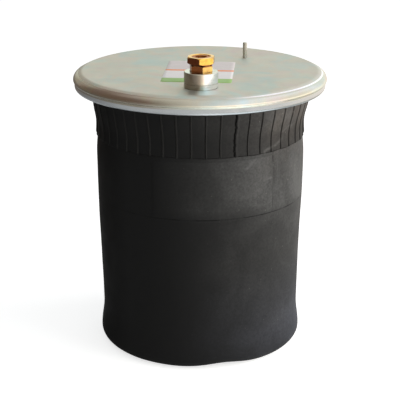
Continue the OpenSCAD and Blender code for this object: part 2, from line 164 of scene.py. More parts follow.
class Tree:
    """Adds nodes to one node tree and links them by the names of their sockets."""

    def __init__(self, tree):
        self.tree = tree

    def plug(self, value, socket):
        """Links a value to a socket, or sets it there if it is a constant."""
        if isinstance(value, bpy.types.NodeSocket):
            self.tree.links.new(value, socket)
        else:
            socket.default_value = value

    def add(self, kind, inputs=None, **settings):
        """A new node with its settings, and its inputs by name or number."""
        node = self.tree.nodes.new(kind)
        for key, value in settings.items():
            setattr(node, key, value)
        for key, value in (inputs or {}).items():
            self.plug(value, node.inputs[key])
        return node

    def group(self, tree, inputs):
        return self.add("ShaderNodeGroup", inputs, node_tree=tree).outputs

    def math(self, operation, a, b=0.0, clamp=False):
        return self.add("ShaderNodeMath", {0: a, 1: b}, operation=operation, use_clamp=clamp).outputs[0]

    def times(self, a, b):
        return self.math("MULTIPLY", a, b)

    def plus(self, a, b):
        return self.math("ADD", a, b)

    def most(self, a, b):
        return self.math("MAXIMUM", a, b)

    def apart(self, a, b):
        """Distance between two values."""
        return self.math("ABSOLUTE", self.math("SUBTRACT", a, b))

    def between(self, value, low, high, to_low=0.0, to_high=1.0):
        """Goes from to_low to to_high as the value goes from low to high, and stays there beyond them."""
        return self.add("ShaderNodeMapRange", {"Value": value, "From Min": low, "From Max": high,
                                               "To Min": to_low, "To Max": to_high}).outputs["Result"]

    def span(self, value, start, full, still, end):
        """Mask of a stretch, which rises from start to full and falls from still to end."""
        return self.times(self.between(value, start, full), self.between(value, end, still))

    def blend(self, factor, a, b):
        """Mixes two colours, each a socket or a red, green and blue."""
        a, b = (c if isinstance(c, bpy.types.NodeSocket) else (*c, 1.0) for c in (a, b))
        return self.add("ShaderNodeMix", {0: factor, 6: a, 7: b}, data_type="RGBA").outputs[2]

    def ramp(self, factor, stops):
        """A colour by its place along a row of stops, each a place from 0 to 1 and a colour."""
        node = self.add("ShaderNodeValToRGB", {"Fac": factor})
        elements = node.color_ramp.elements
        while len(elements) < len(stops):
            elements.new(0.5)
        for element, (at, colour) in zip(elements, stops):
            element.position = at
            element.color = (*colour, 1.0)
        return node.outputs["Color"]

    def ramp_over(self, value, low, high, stops):
        """A colour by a value from low to high, along stops in the value's own measure."""
        shares = [((at - low) / (high - low), colour) for at, colour in stops]
        return self.ramp(self.between(value, low, high), shares)

    def noise(self, vector, scale, detail=3.0, rough=0.5, distort=0.0):
        return self.add("ShaderNodeTexNoise", {"Vector": vector, "Scale": scale, "Detail": detail,
                                               "Roughness": rough, "Distortion": distort}).outputs["Fac"]

    def bump(self, height, distance, normal=None):
        inputs = {"Height": height, "Distance": distance}
        if normal is not None:
            inputs["Normal"] = normal
        return self.add("ShaderNodeBump", inputs).outputs["Normal"]

    def scaled(self, vector, scale, turn=(0.0, 0.0, 0.0)):
        inputs = {"Vector": vector, "Scale": scale, "Rotation": turn}
        return self.add("ShaderNodeMapping", inputs).outputs["Vector"]

    def split(self, vector):
        """A vector's parts: across, back and up."""
        return self.add("ShaderNodeSeparateXYZ", {"Vector": vector}).outputs

    def from_axis(self, point, foot=(0.0, 0.0, 0.0)):
        """Level distance of a point from the upright axis through foot."""
        level = self.scaled(point, (1.0, 1.0, 0.0))
        return self.add("ShaderNodeVectorMath", {0: level, 1: foot}, operation="DISTANCE").outputs["Value"]

    def turn(self, across, back):
        """Turn from the front towards +X, in degrees."""
        return self.math("DEGREES", self.math("ARCTAN2", across, self.times(back, -1.0)))

    def facing_up(self):
        """How much the surface faces up, from -1 to 1."""
        return self.split(self.add("ShaderNodeNewGeometry").outputs["Normal"])[2]


def new_group(name, inputs, outputs):
    """An empty shader node group with named sockets, and its helper, its inputs and its output node."""
    tree = bpy.data.node_groups.new(name, "ShaderNodeTree")
    for label, kind, value in inputs:
        socket = tree.interface.new_socket(label, in_out="INPUT", socket_type=kind)
        if value is not None:
            socket.default_value = value
    for label, kind in outputs:
        tree.interface.new_socket(label, in_out="OUTPUT", socket_type=kind)
    g = Tree(tree)
    return tree, g, g.add("NodeGroupInput").outputs, g.add("NodeGroupOutput").inputs


FLOAT, VECTOR, COLOUR = "NodeSocketFloat", "NodeSocketVector", "NodeSocketColor"


def make_fine_grain():
    """Fine grain of moulded rubber, as a height."""
    tree, g, given, out = new_group("fine_grain", [
        ("Vector", VECTOR, None), ("Scale", FLOAT, 700.0), ("Coarse Share", FLOAT, 0.35)],
        [("Height", FLOAT)])
    fine = g.noise(given["Vector"], given["Scale"])
    coarse = g.noise(given["Vector"], g.times(given["Scale"], 0.13), 2.0)
    height = g.add("ShaderNodeMix", {0: given["Coarse Share"], 2: fine, 3: coarse})
    g.plug(height.outputs[0], out["Height"])
    return tree


def make_dust():
    """Dust that lies in clouds, smears and specks, as masks."""
    tree, g, given, out = new_group("dust", [
        ("Vector", VECTOR, None), ("Cloud Scale", FLOAT, 14.0), ("Speck Scale", FLOAT, 260.0)],
        [("Clouds", FLOAT), ("Smears", FLOAT), ("Specks", FLOAT)])
    clouds = g.noise(given["Vector"], given["Cloud Scale"], 5.0, 0.62, 0.6)
    stretched = g.scaled(given["Vector"], (1.0, 1.0, 0.22), (0.3, 0.1, 0.0))
    smears = g.noise(stretched, g.times(given["Cloud Scale"], 4.0), 4.0, 0.6, 1.2)
    cells = g.add("ShaderNodeTexVoronoi", {"Vector": given["Vector"], "Scale": given["Speck Scale"]})
    dot = g.between(cells.outputs["Distance"], 0.22, 0.08)
    rare = g.between(g.split(cells.outputs["Color"])[0], 0.90, 0.93)
    g.plug(g.between(clouds, 0.42, 0.72), out["Clouds"])
    g.plug(g.between(smears, 0.55, 0.75), out["Smears"])
    g.plug(g.times(dot, rare), out["Specks"])
    return tree


def make_scratches():
    """Long thin scratches in three rough directions, as a mask."""
    tree, g, given, out = new_group("scratches", [
        ("Vector", VECTOR, None), ("Scale", FLOAT, 30.0), ("Stretch", FLOAT, 0.04), ("Amount", FLOAT, 0.5)],
        [("Mask", FLOAT)])
    scale = g.add("ShaderNodeCombineXYZ", {0: 1.0, 1: given["Stretch"], 2: 1.0}).outputs[0]
    total = None
    for turn in (0.35, 1.9, -0.6):
        turned = g.scaled(given["Vector"], (1.0, 1.0, 1.0), (0.2, 0.1, turn))
        bent = g.add("ShaderNodeVectorMath", {0: turned, 1: scale}, operation="MULTIPLY").outputs[0]
        lines = g.noise(bent, g.times(given["Scale"], 8.0), 2.0)
        thin = g.between(g.apart(lines, 0.5), 0.012, 0.002)
        here = g.between(g.noise(turned, given["Scale"], 1.0), 0.58, 0.66)
        mask = g.times(thin, here)
        total = mask if total is None else g.most(total, mask)
    g.plug(g.times(total, given["Amount"]), out["Mask"])
    return tree


def make_edge_finder():
    """Edges that stand out, found by rounding the surface's normal, as a mask."""
    tree, g, given, out = new_group("edge_finder", [("Radius", FLOAT, 0.0004), ("Strength", FLOAT, 3.0)],
                                    [("Mask", FLOAT)])
    rounded = g.add("ShaderNodeBevel", {"Radius": given["Radius"]}, samples=4).outputs[0]
    real = g.add("ShaderNodeNewGeometry").outputs["Normal"]
    same = g.add("ShaderNodeVectorMath", {0: rounded, 1: real}, operation="DOT_PRODUCT").outputs["Value"]
    bent = g.math("SUBTRACT", 1.0, same)
    g.plug(g.math("MULTIPLY", bent, given["Strength"], clamp=True), out["Mask"])
    return tree


def make_plating_tint():
    """Patchy tints of passivated zinc: grey, straw, a little pink and a little blue-green."""
    tree, g, given, out = new_group("plating_tint", [("Vector", VECTOR, None), ("Scale", FLOAT, 20.0)],
                                    [("Color", COLOUR), ("Patches", FLOAT)])
    drift = g.noise(given["Vector"], given["Scale"], 3.0, 0.55, 1.0)
    tint = g.ramp(drift, [(0.30, (0.52, 0.60, 0.56)), (0.42, (0.57, 0.59, 0.51)),
                          (0.50, (0.60, 0.60, 0.49)), (0.58, (0.61, 0.56, 0.50)),
                          (0.70, (0.52, 0.59, 0.55))])
    g.plug(tint, out["Color"])
    g.plug(g.noise(given["Vector"], g.times(given["Scale"], 3.1), 4.0, 0.6), out["Patches"])
    return tree


FINE_GRAIN = make_fine_grain()
DUST = make_dust()
SCRATCHES = make_scratches()
EDGE_FINDER = make_edge_finder()
PLATING_TINT = make_plating_tint()


def bare_material(name):
    """A material without nodes, and its helper."""
    material = bpy.data.materials.new(name)
    material.use_nodes = True
    material.node_tree.nodes.clear()
    return material, Tree(material.node_tree)


def new_material(name):
    """A material with a Principled shader, its helper, the surface's own coordinates and the shader."""
    material, g = bare_material(name)
    shader = g.add("ShaderNodeBsdfPrincipled")
    g.add("ShaderNodeOutputMaterial", {"Surface": shader.outputs[0]})
    own = g.add("ShaderNodeTexCoord").outputs["Object"]
    return material, g, own, shader


def feed(g, shader, **values):
    """Sets or links the shader's sockets, named with _ for a space."""
    for key, value in values.items():
        g.plug(value, shader.inputs[key.replace("_", " ")])


def seam(g, own, off, width, strength):
    """A thin dark seam that fades in places, as a mask.

    off is the distance from its middle, width the distances where it starts and is full, and strength its
    faintest and its strongest.
    """
    broken = g.between(g.noise(own, 60.0, 3.0, 0.6), 0.40, 0.55, *strength)
    return g.times(g.between(off, *width), broken)


def scuff(g, own, start, end, half_width):
    """A faint smear on the front along a line from start to end, each across and up in mm, as a mask."""
    fade = 4.0
    across, back, up = g.split(own)
    (x0, z0), (x1, z1) = start, end
    level = g.between(across, *mm(x0, x1, z0, z1))
    wander = g.between(g.noise(own, 90.0, 3.0, 0.6), 0.3, 0.7, *mm(-1.6, 1.6))
    off = g.apart(up, g.plus(level, wander))
    broken = g.between(g.noise(own, 150.0, 4.0, 0.7), 0.35, 0.60, 0.2, 1.0)
    broken = g.times(broken, g.span(across, *mm(x0, x0 + fade, x1 - fade, x1)))
    line = g.times(g.between(off, *mm(half_width, 0.0)), broken)
    return g.times(line, g.between(back, *mm(0.0, -10.0)))


SEAM_BLACK = (0.006, 0.006, 0.006)
# Painted shade for the band's creases, rib feet, splice joint and the line under its lower edge
PAINTED_CREASE_SHADE = (0.004, 0.004, 0.004)


def rubber(name, black, dust_and_light, dust_and_light_amount, rough, grain_scale, grain_depth, specular=0.03, streaks=0.0,
           edge_wear_and_glint=False, upper_dust_and_light=0.0, upper_dust_and_light_from=(172.0, 188.0), far_right_shade=1.0, crease_shading=False,
           mould_line=0.0, side_line=0.0, scuffs=()):
    """Black rubber with a moulded grain, dust in clouds and specks, and light scuffs, and a lighter colour
    painted on the right that stands for the light from there.

    shelf is how much more dust and painted light lie above the heights upper_dust_and_light_from: dust that
    the rim and the band keep from wear, and painted light where the rim shades the band. far_right_shade is
    the share of both that is left at the right end, a painted shade there. mould_line is the height of a
    level seam and side_line the turn of an upright one, in degrees.
    """
    material, g, own, shader = new_material(name)
    dust = g.group(DUST, {"Vector": own, "Cloud Scale": 13.0, "Speck Scale": 240.0})
    lines = g.group(SCRATCHES, {"Vector": own, "Scale": 22.0, "Stretch": 0.05, "Amount": 0.55})["Mask"]
    across, back, up = g.split(own)
    # More dust settles on the side that was turned up, the right, and the same mask paints the light that
    # falls from there as a lighter colour
    turned = g.between(across, *mm(-50.0, 112.0))
    right_dust_and_light = g.times(turned, turned)
    side = g.times(right_dust_and_light, g.between(up, *mm(20.0, 200.0), 0.76, 1.05))
    # Painted shade: less of the dust and painted light at the far right end
    if far_right_shade < 1:
        side = g.times(side, g.between(across, *mm(84.0, 108.0), 1.0, far_right_shade))
    # More above a height: dust, and painted light where the rim shades the band's top
    if upper_dust_and_light:
        towards = right_dust_and_light if far_right_shade < 1 else g.between(across, *mm(-50.0, 50.0))
        upper = g.times(g.between(up, *mm(*upper_dust_and_light_from)), towards)
        side = g.plus(side, g.times(upper, upper_dust_and_light))
    cloudy = g.plus(g.times(dust["Clouds"], 0.5), g.times(dust["Smears"], 0.14))
    gritty = g.between(g.noise(own, 380.0, 4.0, 0.7), 0.35, 0.65, 0.78, 1.22)
    spread = g.times(g.plus(cloudy, 0.45), g.times(side, gritty))
    mask = g.math("MULTIPLY", spread, dust_and_light_amount, clamp=True)
    # Bluer towards the bottom, and browner in patches near the top on the right
    high = g.times(g.between(up, *mm(200.0, 270.0)), g.between(across, *mm(40.0, 100.0)))
    brown = g.times(high, g.between(g.noise(own, 30.0, 4.0, 0.6), 0.38, 0.62))
    dust_and_light_tone = g.blend(g.between(up, *mm(120.0, 30.0)), dust_and_light, shade(dust_and_light, (0.90, 0.94, 1.12)))
    dust_and_light_tone = g.blend(brown, dust_and_light_tone, shade(dust_and_light, (1.06, 0.97, 0.90)))
    # Painted shade: the black is darkened at the far left, which lies in the dark
    shaded_black = g.blend(g.between(across, *mm(-78.0, -104.0)), black, shade(black, (0.5, 0.5, 0.5)))
    colour = g.blend(mask, shaded_black, dust_and_light_tone)
    colour = g.blend(g.times(dust["Specks"], g.times(side, 0.4)), colour, (0.22, 0.21, 0.19))
    colour = g.blend(g.times(lines, g.times(side, 0.3)), colour, (0.13, 0.125, 0.115))
    # Painted shade: darkens where the crease attribute marks creases and the band's lower edge
    if crease_shading:
        crease = g.add("ShaderNodeAttribute", attribute_name="crease").outputs["Fac"]
        colour = g.blend(crease, colour, PAINTED_CREASE_SHADE)
    if mould_line:
        off = g.apart(up, mould_line * MM)
        colour = g.blend(seam(g, own, off, mm(0.9, 0.3), (0.15, 0.65)), colour, SEAM_BLACK)
    if side_line:
        off = g.apart(g.turn(across, back), side_line)
        colour = g.blend(seam(g, own, off, (0.45, 0.15), (0.25, 0.7)), colour, SEAM_BLACK)
    for start, end, half_width in scuffs:
        smear = g.times(scuff(g, own, start, end, half_width), 0.6)
        colour = g.blend(smear, colour, shade(dust_and_light, (1.4, 1.4, 1.4)))
    if edge_wear_and_glint:
        # Lighter rib crests, more on the left: wear, and a painted highlight of the flanks that catch the
        # light from the right
        edge_mask = g.group(EDGE_FINDER, {"Radius": 0.6 * MM, "Strength": 4.0})["Mask"]
        edge_mask = g.times(edge_mask, g.between(across, *mm(60.0, -20.0), 0.6, 1.0))
        colour = g.blend(edge_mask, colour, shade(dust_and_light, (1.5, 1.5, 1.45)))
    patch = g.between(g.noise(own, 36.0, 3.0, 0.6), 0.3, 0.7, rough - 0.06, rough + 0.06)
    feed(g, shader, Base_Color=colour, Specular_IOR_Level=specular,
         Roughness=g.plus(patch, g.times(mask, 0.15)))
    grain = g.group(FINE_GRAIN, {"Vector": own, "Scale": grain_scale, "Coarse Share": 0.4})["Height"]
    normal = g.bump(grain, grain_depth)
    if streaks:
        tall = g.noise(g.scaled(own, (1.0, 1.0, 0.05)), 420.0, 3.0, 0.6)
        normal = g.bump(tall, streaks, normal)
    feed(g, shader, Normal=normal)
    return material


def plate_marks_and_painted_light(g, own, flat, colour):
    """Colour of the plate with its own marks over the plating, and painted reflections, highlights and
    shade on its rim and round the boss. flat is the mask of its flat face.
    """
    across, back, up = g.split(own)
    clouds = g.noise(g.scaled(own, (1.0, 0.65, 1.0)), 23.0, 4.0, 0.6, 1.2)
    bloomed = g.ramp(clouds, [(0.34, (0.570, 0.715, 0.675)), (0.44, (0.635, 0.720, 0.660)),
                              (0.50, (0.680, 0.710, 0.625)), (0.57, (0.710, 0.705, 0.615)),
                              (0.68, (0.700, 0.655, 0.615))])
    colour = g.blend(g.times(flat, 0.7), colour, bloomed)
    # Painted reflection: the skirt under the crease is a colder grey, for the pale floor it mirrors;
    # painted shade darkens its lip on the right
    skirt_reflection = g.between(up, *mm(CREASE + 0.8, CREASE - 0.8))
    colour = g.blend(skirt_reflection, colour, (0.50, 0.53, 0.555))
    lip_shade = g.between(up, *mm(RIM_UNDER + 3.8, RIM_UNDER + 2.2))
    lip_shade = g.times(lip_shade, g.between(across, *mm(2.0, 30.0)))
    colour = g.blend(lip_shade, colour, (0.33, 0.37, 0.39))
    # Painted reflections on the plate in front of the boss's foot: a bright blue-green patch, and the
    # boss's dark image on its left
    foot = g.between(g.from_axis(own, (0.0, -BOSS_OUT * MM, 0.0)), *mm(40.0, 35.0))
    foot = g.times(foot, g.between(back, *mm(-BOSS_OUT - 15.0, -BOSS_OUT - 19.0)))
    foot_glint = g.times(foot, g.span(across, *mm(-4.0, 0.5, 6.0, 22.0)))
    colour = g.blend(foot_glint, colour, (0.74, 0.90, 0.87))
    boss_dark_image = g.times(foot, g.span(across, *mm(-13.5, -10.5, -6.0, -2.0)))
    colour = g.blend(boss_dark_image, colour, (0.42, 0.44, 0.38))
    # Painted highlight: a narrow ring round the flat face, near white on the right
    ring = g.span(g.from_axis(own), *mm(FLAT_R - 0.5, FLAT_R, FLAT_R + 1.2, FLAT_R + 2.0))
    highlit_right = g.times(g.between(across, *mm(25.0, 65.0)), g.between(back, *mm(30.0, -10.0)))
    colour = g.blend(g.times(ring, highlit_right), colour, (0.98, 1.0, 1.0))
    # Painted dark reflection in the groove of the roll, on the left
    groove = g.span(up, *mm(CREASE - 1.6, CREASE - 0.6, CREASE + 2.0, CREASE + 4.6))
    groove_dark_reflection = g.times(groove, g.between(across, *mm(-24.0, -62.0)))
    return g.blend(groove_dark_reflection, colour, (0.34, 0.31, 0.25))


def boss_side_light(g, own, colour):
    """Colour of the boss, with painted shade on its upright side on the left and a painted highlight on the
    right.
    """
    across = g.split(own)[0]
    upright = g.between(g.facing_up(), 0.7, 0.4)
    # Painted shade on the left, painted highlight on the right
    colour = g.blend(g.times(g.between(across, *mm(4.4, -0.6)), upright), colour, (0.35, 0.31, 0.25))
    return g.blend(g.times(g.between(across, *mm(2.8, 6.0)), upright), colour, (0.80, 0.82, 0.80))


def zinc(name, tint_scale, rough, lay, lay_depth, dull=0.0, flat_rough=0.0, side_light=False):
    """Passivated zinc plating over steel.

    lay is the stretch of the fine lines that the sheet's rolling or the lathe left. flat_rough is the
    roughness of the plate's flat face, which the crimping rollers haven't smoothed. rubbed is for the boss:
    it paints shade on its upright side on the left and a highlight on the right.
    """
    material, g, own, shader = new_material(name)
    tint = g.group(PLATING_TINT, {"Vector": own, "Scale": tint_scale})
    edge_mask = g.group(EDGE_FINDER, {"Radius": 0.5 * MM, "Strength": 2.5})["Mask"]
    marks = g.group(SCRATCHES, {"Vector": own, "Scale": 34.0, "Stretch": 0.05, "Amount": 0.7})["Mask"]
    darker = g.between(tint["Patches"], 0.35, 0.68, 0.0, 0.12 + dull)
    colour = g.blend(darker, tint["Color"], (0.38, 0.36, 0.30))
    cloudy = g.between(tint["Patches"], 0.3, 0.7, rough - 0.05, rough + 0.07)
    if flat_rough:
        flat = g.between(g.from_axis(own), *mm(FLAT_R + 0.4, FLAT_R - 0.4))
        colour = plate_marks_and_painted_light(g, own, flat, colour)
        cloudy = g.plus(cloudy, g.times(flat, flat_rough - rough))
    if side_light:
        colour = boss_side_light(g, own, colour)
    colour = g.blend(g.times(edge_mask, 0.25), colour, (0.78, 0.78, 0.76))
    colour = g.blend(g.times(marks, 0.3), colour, (0.72, 0.72, 0.70))
    feed(g, shader, Base_Color=colour, Metallic=1.0, Roughness=g.plus(cloudy, g.times(marks, 0.08)))
    lines = g.noise(g.scaled(own, lay), 900.0, 2.0, 0.55)
    soft = g.bump(g.noise(own, 55.0, 2.0), 0.00006)
    feed(g, shader, Normal=g.bump(lines, lay_depth, soft))
    return material


def brass(name, colour, tarnish_and_shade_colour, rough, shaded_side=(0.0, -1.5), shaded_below=0.0, shaded_above=1000.0,
          metal=1.0):
    """Machined brass, with darker, tarnished patches, and edges bright from wear and a painted highlight.

    Painted shade in the tarnished colour darkens the upright faces on the side that shaded_side gives, the
    faces turned down, and all faces below the height shaded_below and above shaded_above.
    """
    fade = 0.4
    material, g, own, shader = new_material(name)
    edge_mask = g.group(EDGE_FINDER, {"Radius": 0.6 * MM, "Strength": 3.5})["Mask"]
    patches = g.noise(own, 160.0, 4.0, 0.6, 0.8)
    facing = g.facing_up()
    across, _, up = g.split(own)
    # Painted shade: the upright faces on one side, the faces turned down, and the bands below and above the
    # given heights
    painted_shade = g.times(g.between(across, *mm(*shaded_side)), g.between(facing, 0.7, 0.4))
    painted_shade = g.most(painted_shade, g.between(facing, -0.2, -0.5))
    painted_shade = g.most(painted_shade, g.between(up, *mm(shaded_below + fade, shaded_below - fade)))
    painted_shade = g.most(painted_shade, g.between(up, *mm(shaded_above - fade, shaded_above + fade)))
    tarnish_and_shade_mask = g.most(g.between(patches, 0.45, 0.75, 0.0, 0.35), g.times(painted_shade, 0.95))
    base = g.blend(tarnish_and_shade_mask, colour, tarnish_and_shade_colour)
    # Bright edges: wear, and a painted highlight
    base = g.blend(g.times(edge_mask, 0.55), base, (0.95, 0.78, 0.42))
    feed(g, shader, Base_Color=base, Metallic=metal, Specular_IOR_Level=0.1 if metal < 1 else 0.5,
         Roughness=g.between(patches, 0.3, 0.7, rough - 0.04, rough + 0.1))
    lines = g.noise(g.scaled(own, (0.05, 0.05, 1.0)), 1500.0, 2.0, 0.6)
    feed(g, shader, Normal=g.bump(lines, 0.00003))
    return material


def weld_metal():
    """Weld bead: rippled, burnt brown-grey steel."""
    material, g, own, shader = new_material("weld_metal")
    ripple = g.noise(own, 320.0, 4.0, 0.6, 0.5)
    base = g.blend(g.between(ripple, 0.35, 0.7), (0.16, 0.14, 0.12), (0.36, 0.34, 0.30))
    feed(g, shader, Base_Color=base, Metallic=0.9, Roughness=g.between(ripple, 0.3, 0.7, 0.36, 0.6))
    feed(g, shader, Normal=g.bump(ripple, 0.0005))
    return material


def bead_wire_metal():
    """Bronzed bead wire, wound in fine turns."""
    material, g, own, shader = new_material("bead_wire_metal")
    turns = g.noise(g.scaled(own, (0.1, 0.1, 1.0)), 900.0, 2.0)
    base = g.blend(g.between(turns, 0.4, 0.6), (0.30, 0.24, 0.16), (0.48, 0.42, 0.32))
    feed(g, shader, Base_Color=base, Metallic=1.0, Roughness=g.between(turns, 0.35, 0.65, 0.3, 0.45))
    feed(g, shader, Normal=g.bump(turns, 0.0002))
    return material


def label_print():
    """Plain printed label: a pale top field, a thin orange rule, a white field and a green foot."""
    material, g, own, shader = new_material("label_print")
    up = g.split(g.add("ShaderNodeTexCoord").outputs["UV"])[1]
    paper = g.noise(own, 90.0, 4.0, 0.6)
    mottled = g.between(paper, 0.35, 0.7)
    top = g.blend(mottled, (0.74, 0.665, 0.66), (0.82, 0.74, 0.73))
    white = g.blend(mottled, (0.90, 0.85, 0.85), (0.96, 0.91, 0.90))
    colour = g.blend(g.between(up, 0.549, 0.551), white, top)
    colour = g.blend(g.span(up, 0.518, 0.521, 0.577, 0.580), colour, (0.95, 0.27, 0.07))
    colour = g.blend(g.between(up, 0.182, 0.178), colour, (0.31, 0.55, 0.14))
    feed(g, shader, Base_Color=colour, Specular_IOR_Level=0.4,
         Roughness=g.between(paper, 0.3, 0.7, 0.38, 0.5))
    feed(g, shader, Normal=g.bump(paper, 0.00004))
    return material


OUTER_BLACK = (0.0150, 0.0150, 0.0150)
# Colour of the dust, made light enough to stand for the light from the right as well
WALL_DUST_AND_LIGHT = (0.100, 0.099, 0.097)
COVER_RUBBER = rubber("cover_rubber", OUTER_BLACK, WALL_DUST_AND_LIGHT, 1.0, 0.55, 800.0, 0.00010,
                      upper_dust_and_light=0.42, mould_line=PAD_BOTTOM - 0.6)
PAD_RUBBER = rubber("pad_rubber", OUTER_BLACK, WALL_DUST_AND_LIGHT, 1.0, 0.52, 800.0, 0.00008,
                    upper_dust_and_light=0.62, side_line=41.9,
                    scuffs=[((46, 229), (63, 241), 2.8), ((66, 213), (80, 217), 2.0)])
BAND_RUBBER = rubber("band_rubber", OUTER_BLACK, (0.098, 0.094, 0.090), 0.94, 0.56, 700.0, 0.00012,
                     streaks=0.00006, edge_wear_and_glint=True, upper_dust_and_light=1.6, upper_dust_and_light_from=(260.0, 290.0), far_right_shade=0.66,
                     crease_shading=True, scuffs=[((64, 243), (90, 256), 2.6), ((86, 262), (101, 268), 2.0)])
LINER_RUBBER = rubber("liner_rubber", (0.016, 0.0155, 0.015), (0.040, 0.038, 0.034), 0.3, 0.42,
                      500.0, 0.00006, specular=0.35)
BEAD_RUBBER = rubber("bead_rubber", (0.015, 0.0145, 0.014), (0.045, 0.040, 0.034), 0.3, 0.46,
                     600.0, 0.00008, specular=0.3)
SEAL_RUBBER = rubber("seal_rubber", (0.012, 0.012, 0.012), (0.030, 0.028, 0.026), 0.2, 0.34,
                     900.0, 0.00003, specular=0.4)
ZINC_SHEET = zinc("zinc_sheet", 17.0, 0.16, (0.06, 1.0, 1.0), 0.00001, flat_rough=0.62)
ZINC_TURNED = zinc("zinc_turned", 60.0, 0.20, (0.02, 0.02, 1.0), 0.00003, dull=-0.04, side_light=True)
PIN_STEEL = zinc("pin_steel", 90.0, 0.26, (0.02, 0.02, 1.0), 0.00003, dull=0.25)
BRASS_BODY = brass("brass_body", (0.79, 0.50, 0.155), (0.28, 0.087, 0.03), 0.24, shaded_side=(3.6, 1.8),
                   shaded_above=PLATE_TOP + 22.9)
BRASS_NUT = brass("brass_nut", (0.83, 0.485, 0.098), (0.17, 0.043, 0.023), 0.20,
                  shaded_below=PLATE_TOP + 25.8)
BRASS_COLLET = brass("brass_collet", (0.50, 0.16, 0.03), (0.26, 0.07, 0.02), 0.40, metal=0.35)
WELD_METAL = weld_metal()
BEAD_WIRE_METAL = bead_wire_metal()
LABEL_PRINT = label_print()

NODE_FINISH = {
    "bead_plate": ZINC_SHEET, "inlet_boss": ZINC_TURNED, "boss_weld": WELD_METAL, "locating_pin": PIN_STEEL,
    "pin_weld": WELD_METAL, "fitting_body": BRASS_BODY, "union_nut": BRASS_NUT, "thread_seal": SEAL_RUBBER,
    "tube_seal": SEAL_RUBBER, "grip_collet": BRASS_COLLET, "upper_bead": BEAD_RUBBER,
    "upper_bead_wire": BEAD_WIRE_METAL, "upper_bead_filler": BEAD_RUBBER, "lower_bead": BEAD_RUBBER,
    "lower_bead_wire": BEAD_WIRE_METAL, "lower_bead_filler": BEAD_RUBBER}
EASED_EDGES = {"inlet_boss": 0.3, "fitting_body": 0.3, "union_nut": 0.3, "locating_pin": 0.2,
               "grip_collet": 0.1}


def finish_node(name, material):
    """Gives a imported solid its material."""
    slots = nodes[name].data.materials
    slots.clear()
    slots.append(material)


def ease_edges(name, width):
    """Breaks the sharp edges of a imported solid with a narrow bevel."""
    bevel = nodes[name].modifiers.new("eased_edges", "BEVEL")
    bevel.width = width * MM
    bevel.segments = 2
    bevel.limit_method = "ANGLE"
    bevel.angle_limit = math.radians(28)


for node_name, node_material in NODE_FINISH.items():
    finish_node(node_name, node_material)
for node_name, edge_width in EASED_EDGES.items():
    ease_edges(node_name, edge_width)


def wall_radius(z):
    """Radius of the sleeve's outside at a height, in mm."""
    for (z0, r0), (z1, r1) in zip(STATIONS, STATIONS[1:]):
        if z >= z1:
            return mix(r0, r1, (1 - math.cos(math.pi * (z0 - z) / (z0 - z1))) / 2)
    return STATIONS[-1][1]


def wall_slope(z):
    """How much the outside widens for each mm of height."""
    return (wall_radius(z + 0.5) - wall_radius(z - 0.5)) if z < RIM_UNDER - 2.0 else 0.0


def unevenness(turn, z):
    """Small waves in the wall, in mm, which die out at the neck, and its tuck under the rim's left."""
    p = Vector((math.sin(turn) * 1.6, -math.cos(turn) * 1.6, z * 0.011))
    wide = noise.noise(p + Vector((3.1, 0.0, 7.7)))
    narrow = noise.noise(p * 3.3 + Vector((11.0, 5.0, 0.0)))
    tuck = 1.7 * max(0.0, -math.sin(turn)) * math.exp(-((z - RIM_UNDER + 10.0) / 11.0) ** 2)
    return (0.75 * wide + 0.22 * narrow) * smooth((RIM_UNDER - z) / 45) - tuck


def lobe_lift(turn, z):
    """How far the rolled lobe is pushed up at a turn, most where it is dented in front, in mm."""
    aside = (math.degrees(turn) + 180) % 360 - 180
    dent = 3.8 * math.exp(-((aside - 14) / 14) ** 2)
    sway = 0.25 * (1 + math.sin(2 * turn + 0.6))
    return (dent + sway) * smooth((90 - z) / 80)


def on_wall(turn, z, out=0.0):
    """A point on the sleeve's outside, moved out along the wall's normal, in metres."""
    slope = wall_slope(z)
    length = math.hypot(1, slope)
    r = wall_radius(z) + unevenness(turn, z) + out / length
    height = z - out * slope / length
    return place(turn, r, height + lobe_lift(turn, z))


def lobe_section():
    """Outline of the wall and the lobe from the neck to the lower bead, as radius, height and normal.

    With it comes the number of its point at the lobe's bottom.
    """
    heights = [mix(RIM_UNDER, BAND_BOTTOM, i / 14) for i in range(15)]
    heights += [mix(BAND_BOTTOM, OUTER_TURN[1], i / 80) for i in range(1, 80)]
    section = [(NECK_R, SLEEVE_TOP, 1.0, 0.0)]
    for z in heights:
        slope = wall_slope(z)
        length = math.hypot(1, slope)
        section.append((wall_radius(z), z, 1 / length, -slope / length))
    outer_steps, inner_steps, rise_steps = 14, 16, 30
    bottom = len(section) + outer_steps
    for (cr, cz, r), start, end, steps in ((OUTER_TURN, 0, -90, outer_steps),
                                           (INNER_TURN, -90, -180, inner_steps)):
        for i in range(steps + 1):
            a = math.radians(mix(start, end, i / steps))
            section.append((cr + r * math.cos(a), cz + r * math.sin(a), math.cos(a), math.sin(a)))
    for i in range(1, rise_steps + 1):
        t = i / rise_steps
        section.append((mix(INNER_WALL_R, INNER_TOP_R, t), mix(INNER_TURN[1], BEAD_UNDER, t), -1.0, 0.0))
    return section, bottom


def sleeve_grid(section, depth):
    """Rows of points round the axis, one row for each point of the section, at a depth inside it."""
    cols = 360
    rows = []
    for r, z, nr, nz in section:
        share = smooth((r - PISTON_SIDE_R) / 20.0)
        rising = z < BEAD_UNDER and nr < 0
        row = []
        for j in range(cols):
            turn = 2 * math.pi * j / cols
            swell = unevenness(turn, z) * share
            lift = lobe_lift(turn, z) * (share if rising else 1.0)
            row.append(place(turn, r + swell - depth * nr, z + lift - depth * nz))
        rows.append(row)
    return rows


